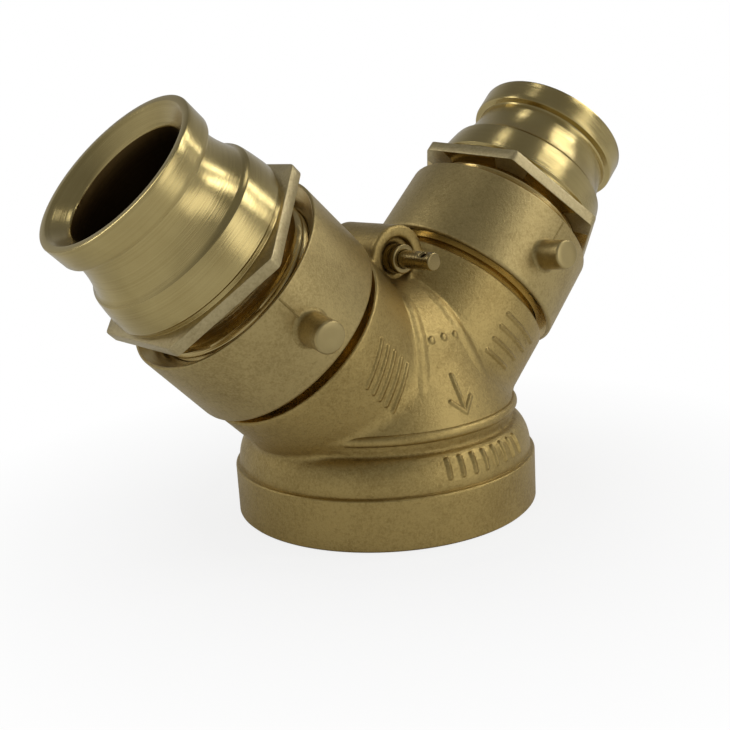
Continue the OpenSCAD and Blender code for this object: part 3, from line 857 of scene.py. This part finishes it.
adapter_back = 95.9
thread_crest, thread_root, thread_pitch = 38.95, 37.3, 3.387
hexagon_start, hexagon_end = 123.0, 128.3
hexagon_corner, shoulder_radius = 50.9, 42.2
hexagon_turn = {-1: 0.0, 1: 8.5}
groove_start, nose_start, adapter_rim = 145.0, 164.0, 175.1
groove_root, nose_radius = 34.7, 37.9
waterway_radius, rim_inner, bevel = 27.9, 34.7, 6.4


def hexagon_radius(around, corner):
    """The distance from the centre to a hexagon's side: its half width over the cosine of the turn
    from the nearest side's middle."""
    from_middle = np.mod(around, np.pi / 3) - np.pi / 6
    return corner * np.cos(np.pi / 6) / np.cos(from_middle)


def adapter_grid(side):
    """The adapter's grid of (outline, turn): round everywhere but on the hexagon's rows, with the
    thread as a helix of rounded ridges along the shank."""
    around = whole_turn(240)
    threads = np.arange(ring_mouth - 14, ring_mouth - 1.5, thread_pitch / 9)
    shank = [(waterway_radius + 4, adapter_back), (thread_crest - 1, adapter_back),
             (thread_crest, adapter_back + 1)]
    threaded = slice(len(shank), len(shank) + len(threads))
    shank += [(thread_crest, s) for s in threads]
    shank += near(thread_root, ring_mouth, (0, -1.0), (0, 2.0))
    shank += near(thread_root, hexagon_start, (0, -3.0), (0, -1.6), (0.25, -0.6), (0.8, -0.12), (1.5, 0))
    hexagon = near(0, hexagon_start, (0.5, 0), (0.12, 0.12), (0, 0.5), (0, 2.65))
    hexagon += near(0, hexagon_end, (0, -0.6), (0.15, -0.18), (0.6, 0))
    flats = slice(len(shank), len(shank) + len(hexagon))
    front = near(shoulder_radius, hexagon_end, (0.7, 0), (0.15, 0.15), (0, 0.7), (0, 1.9), (0.15, 2.15),
                 (0.8, 2.7), (1.0, 3.0), (0.7, 5.7), (-0.3, 11.2), (-1.1, 14.9))
    front += arc((40.2, groove_start - 0.6), 0.5, 8, 70, 5).tolist()
    groove = np.linspace(0, 1, 20)[1:]
    front += [(groove_root + (39.5 - groove_root) * (1 - t)**2, groove_start + 17.5 * t) for t in groove]
    front += near(groove_root, nose_start, (0.05, -1.0), (0.3, -0.5))
    front += near(nose_radius, nose_start, (-0.9, -0.05), (-0.25, 0.15), (0, 0.8), (0, 3.0), (0, 8.0))
    front += near(nose_radius, adapter_rim, (0, -0.7), (-0.2, -0.2), (-0.7, 0))
    front += near(rim_inner, adapter_rim, (0.5, 0), (0.1, -0.08), (-0.35, -0.45))
    cone = np.linspace(0.1, 0.93, 6)[:, None]
    rim_edge, bore_edge = np.array([rim_inner, adapter_rim]), np.array([waterway_radius, adapter_rim - bevel])
    front += (rim_edge + (bore_edge - rim_edge) * cone).tolist()
    front += near(waterway_radius, adapter_rim - bevel, (0.2, -0.05), (0, -0.5))
    front += [(waterway_radius, s) for s in np.linspace(adapter_rim - bevel - 8, adapter_back + 4.4, 8)]
    front += [(waterway_radius + 0.1, adapter_back + 3.9)]
    outline = np.array(shank + hexagon + front)
    radius, distance = outline.T[:, :, None]
    circle = np.tile(radius, len(around))
    circle[flats] = np.minimum(hexagon_radius(around, hexagon_corner) - radius[flats],
                               hexagon_corner - 0.45 - radius[flats] * 0.5)
    phase = np.mod(distance[threaded] / thread_pitch - around / (2 * np.pi), 1.0)
    ridge = 0.5 - 0.5 * np.cos(2 * np.pi * phase)
    circle[threaded] = thread_root + (thread_crest - thread_root) * ridge**0.8
    turn = around + np.radians(hexagon_turn[side] - 90)
    return about_axis(circle, turn, distance)


hexagon_finish = cast_brass("satin_hexagon", (0.52, 0.43, 0.235), (0.30, 0.23, 0.10), 0.8)
for side, word in sides.items():
    adapter = piece_of("adapter_body_" + word, [on_inlet(adapter_grid(side), side)], turned_finish[side],
                       gap_bounce_finish[side], hexagon_finish, bore_shade_finish[side], sharp=28)
    refinish(adapter, 1, side, lambda radius, out: out < hexagon_start + 0.05)
    refinish(adapter, 2, side, lambda radius, out: (radius > 42.5) & (out > hexagon_start - 0.05)
             & (out < hexagon_end + 0.1))
    refinish(adapter, 3, side, lambda radius, out: radius < waterway_radius + 0.05)
    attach(adapter, "inlet_" + word)
    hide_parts("adapter_" + word)


# ---- Hinge pin and gland ----
# The clapper hangs on a turned pin that comes out through a gland in the boss on the front. The
# pin's outer end is drilled across, and its tip and the gland's rim are eased.

pin_radius, pin_inner, pin_outer, pin_hole = 4.0, -14.5, 39.8, 34.8


def on_hinge(grid):
    """A grid whose third axis runs forwards from the middle plane, placed on the hinge axis."""
    across, up, ahead = np.moveaxis(grid, -1, 0)
    return np.stack([across, -ahead, hinge_height + up], -1)


def square_ring(inner, outer, low, high, reach):
    """The outline of a ring with a square section and eased corners."""
    return eased([(inner, low), (outer, low), (outer, high), (inner, high)], reach)


# The pin and gland are a darker copy of the turned brass: painted shade, for the shadow on them at the boss.
pin_shade_finish = turned_brass("shaded_turned_pin", (0, 1, 0), (0, 0, 0), (0.37, 0.285, 0.125), (0.17, 0.12, 0.048),
                          0.26)
pin_sides = [(pin_radius, s) for s in (21.0, 26.0, 30.0, 32.0, 37.6)]
pin_outline = eased([(0.3, pin_inner), (pin_radius, pin_inner), *pin_sides,
                     (pin_radius, pin_outer), (0.3, pin_outer)], [0, 1.0, 0, 0, 0, 0, 0, 0.9, 0])
pin = piece_of("hinge_pin_turned", [on_hinge(carried_round(pin_outline, 64))], pin_shade_finish, filled=True)
drill_outline = [(7.0, -8.0), (1.5, -2.9), (1.5, 2.9), (7.0, 8.0)]
across, ahead, up = np.moveaxis(carried_round(drill_outline, 32), -1, 0)
drill_turn = np.radians(30.0)
drill_grid = np.stack([across * np.cos(drill_turn) - up * np.sin(drill_turn), ahead - pin_hole,
                       up * np.cos(drill_turn) + across * np.sin(drill_turn) + hinge_height], -1)
drill = piece_of("pin_drill", [drill_grid], pin_shade_finish, filled=True)
bore = pin.modifiers.new("cross_hole", "BOOLEAN")
bore.operation = "DIFFERENCE"
bore.solver = "EXACT"
bore.object = drill
drilled = bpy.data.meshes.new_from_object(pin.evaluated_get(bpy.context.evaluated_depsgraph_get()))
pin.modifiers.clear()
pin.data = drilled
bpy.data.objects.remove(drill)
gland_outline = square_ring(4.1, 6.5, 11.0, 20.8, [0, 0.3, 0.8, 0.5])
gland = piece_of("pin_gland_turned", [on_hinge(carried_round(gland_outline, 72))], pin_shade_finish)
for piece, node in ((pin, "hinge_pin"), (gland, "pin_gland")):
    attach(piece, "body")
    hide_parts(node)


# ---- Gland packing, seat rings and swivel washers ----
# Soft rubber rings seal the pin and the swivel joints. A bronze ring, pressed into each neck, is
# the seat that the clapper's rubber facing shuts against.


def moulded_rubber(name, tone):
    """Black moulded rubber: a dull skin with fine grain and a faint grey bloom."""
    finish = Finish(name)
    bloom = finish.noise(0.12, 3.0)
    grain = finish.noise(2.5, 3.0, 0.6)
    shade = (bloom + (grain - 0.5) * 0.5).smooth(0.35, 0.75)
    finish.set(Base_Color=finish.mix(shade, (tone, tone, tone), (tone * 2.6, tone * 2.5, tone * 2.4)),
               Roughness=(0.62 + (bloom - 0.5) * 0.3).clamp(0.4, 0.85))
    finish.bump(grain, 0.05, 0.5)
    return finish


rubber = moulded_rubber("black_rubber", 0.018)
seat_bronze = turned_brass("seat_bronze", (0, 0, 1), (0, 0, 0), (0.50, 0.30, 0.12), (0.28, 0.15, 0.05),
                           0.3)
packing_outline = square_ring(4.1, 6.45, 8.9, 10.9, 0.35)
packing = piece_of("gland_packing", [on_hinge(carried_round(packing_outline, 72))], rubber)
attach(packing, "body")
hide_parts("pin_packing")
for side, word in sides.items():
    seat = piece_of("seat_ring_turned_" + word, [on_inlet(carried_round(square_ring(
        29.0, 35.4, seat_face, seat_face + 6.0, [1.0, 0.25, 0.4, 0.5]), 180), side)], seat_bronze)
    washer = piece_of("swivel_washer_" + word, [on_inlet(carried_round(
        square_ring(31.0, 38.85, ring_step, adapter_back, 0.4), 160), side)], rubber)
    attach(seat, "body")
    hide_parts("seat_ring_" + word)
    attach(washer, "inlet_" + word)
    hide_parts("swivel_gasket_" + word)


# ---- Clapper ----
# A cast bronze plate with an arm and a knuckle hangs on the pin. A rubber facing lies on each side
# under a washer, and one bolt with a nut holds them all together through the plate's centre.

plate_height = hinge_height - swing_radius
plate_radius, plate_half = 34.0, 2.5
knuckle_radius, knuckle_half, arm_half = 8.0, 6.5, 3.5
bolt_corner = 7.5


def clapper_depth(points):
    """Signed distance to the cast clapper: plate, arm and knuckle joined with fillets, and its holes."""
    x, y, z = points.T
    level = np.hypot(y, z - plate_height)
    hinge_r = np.hypot(x, z - hinge_height)
    plate = cut_depth(level - plate_radius, plate_half - np.abs(x), 0.8)
    arm = np.maximum(np.maximum(np.abs(x) - arm_half, np.abs(y) - knuckle_half),
                     np.maximum(plate_height + 30 - z, z - hinge_height))
    knuckle = cut_depth(hinge_r - knuckle_radius, knuckle_half - np.abs(y), 0.6)
    solid = blend_depth(blend_depth(plate, arm, 2.0), knuckle, 3.0)
    facings = np.maximum(level - plate_radius - 0.1, plate_half - np.abs(x))
    for hole in (facings, hinge_r - pin_bore, level - pin_bore):
        solid = np.maximum(solid, -hole)
    return np.maximum(solid, np.maximum(np.abs(x) - knuckle_radius, np.abs(y) - plate_radius))


def on_plate(grid, side=1):
    """A grid whose third axis runs outwards from the plate's middle, placed on its centre line."""
    across, up, out = np.moveaxis(grid, -1, 0)
    return np.stack([side * out, across, plate_height + up], -1)


def hexagon_grid(outline):
    """An outline turned about the third axis, its radii never past the bolt's hexagon."""
    around = whole_turn(72)
    radius, distance = np.asarray(outline, float).T[:, :, None]
    return about_axis(np.minimum(radius, hexagon_radius(around, bolt_corner)), around, distance)


cast_bronze = cast_brass("cast_bronze", (0.42, 0.25, 0.10), (0.20, 0.11, 0.04))
turned_bronze = turned_brass("turned_bronze", (1, 0, 0), (0, 0, 0), (0.52, 0.32, 0.13),
                             (0.30, 0.17, 0.06))
clapper_points, clapper_faces = skin(clapper_depth, (-9.3, -35.3, 24.7), (9.3, 35.3, 123.3),
                                     0.9)
clapper = piece_from("clapper_cast", clapper_points, clapper_faces, cast_bronze)
# Painted shade: the clapper's corners and fillets are darkened in its colour.
store(clapper, "hollow", corner_shade(clapper_depth, clapper_points, 3.0))
stack = [(clapper, "clapper_plate", "bronze")]
for side, word in sides.items():
    facing = piece_of("clapper_facing_" + word, [on_plate(carried_round(
        square_ring(4.1, 33.5, plate_half, 5.5, [0.2, 0.3, 0.9, 0.2]), 180), side)], rubber)
    plain_washer = piece_of("facing_washer_turned_" + word, [on_plate(carried_round(
        square_ring(4.1, 25.0, 5.5, 7.1, [0.2, 0.2, 0.5, 0.3]), 140), side)], turned_bronze)
    stack += [(facing, "facing_" + word, "rubber"), (plain_washer, "facing_washer_" + word, "bronze")]
bolt_thread = [(4.0 - 0.22 * (1 - np.cos(2 * np.pi * s / 1.25)), s) for s in np.arange(8.0, 13.4, 1.25 / 6)]
bolt_outline = [(0.01, -12.1), (6.2, -12.1), (6.9, -11.9), (bolt_corner, -11.5), (bolt_corner, -7.6),
                (7.2, -7.1), (4.5, -7.1), (4.0, -6.8), (4.0, 7.8), *bolt_thread, (3.4, 14.1), (0.01, 14.1)]
nut_outline = [(4.05, 7.5), (4.5, 7.1), (6.6, 7.1), (bolt_corner, 7.5), (bolt_corner, 11.6), (6.6, 12.1),
               (4.5, 12.1), (4.05, 11.7)]
bolt = piece_of("clapper_bolt_turned", [on_plate(hexagon_grid(bolt_outline))], turned_bronze,
                filled=True, sharp=25)
nut = piece_of("clapper_nut_turned", [on_plate(hexagon_grid(nut_outline))], turned_bronze, sharp=25)
stack += [(bolt, "clapper_bolt", "bronze"), (nut, "clapper_nut", "bronze")]
for piece, node, slot in stack:
    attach(piece, "clapper")
    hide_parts(node)


# ---- Outlet thread ----
# The taper thread for the riser pipe, cut inside the collar at eight threads to the inch. Its
# ring lies against the bored collar, and the thread runs out at the chamfer and at the top.

outlet_pitch, outlet_crest, outlet_root = 3.175, 54.0, 56.3
thread_foot, thread_top = 1.0, 25.2
thread_around = whole_turn(240)
thread_height = np.linspace(thread_foot, thread_top, 78)[:, None]
thread_phase = np.mod(thread_height / outlet_pitch - thread_around / (2 * np.pi), 1.0)
run_out = np.clip((thread_top - thread_height) / 2.0, 0, 1)
thread_depth = (outlet_root - outlet_crest) * run_out * np.clip(1.25 - 2.4 * np.abs(thread_phase - 0.5), 0, 1)
thread_radius = np.maximum(outlet_root - thread_depth, 57.2 - thread_height)
thread_inner = about_axis(thread_radius, thread_around, thread_height)
thread_outer = carried_round([(57.4, thread_top), (57.4, thread_foot)], 240)
outlet_finish = turned_brass("threaded_brass", (0, 0, 1), (0, 0, 0), turned_pale, turned_dull, 0.3)
thread = piece_of("outlet_thread", [np.concatenate([thread_inner, thread_outer])], outlet_finish, sharp=50)
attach(thread, "body")
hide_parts("body_casting")


# ---- Balls and plugs ----
# Hard steel balls run in the races. Each race is closed, after the balls are in, by a slotted
# brass screw set just below the surface at the back of its ring.

ball_steel = Finish("ball_steel", Metallic=1.0)
ball_marks = ball_steel.noise(0.8, 3.0)
ball_tone = ball_steel.mix(ball_marks.smooth(0.4, 0.8), (0.62, 0.62, 0.63), (0.40, 0.38, 0.34))
ball_steel.set(Base_Color=ball_tone, Roughness=(0.12 + ball_marks * 0.12).clamp(0.1, 0.4))
for side, word in sides.items():
    for node, finish in (("bearing_balls_" + word, ball_steel), ("ball_plug_" + word, turned_finish[side])):
        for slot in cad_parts[node].material_slots:
            slot.material = finish.material
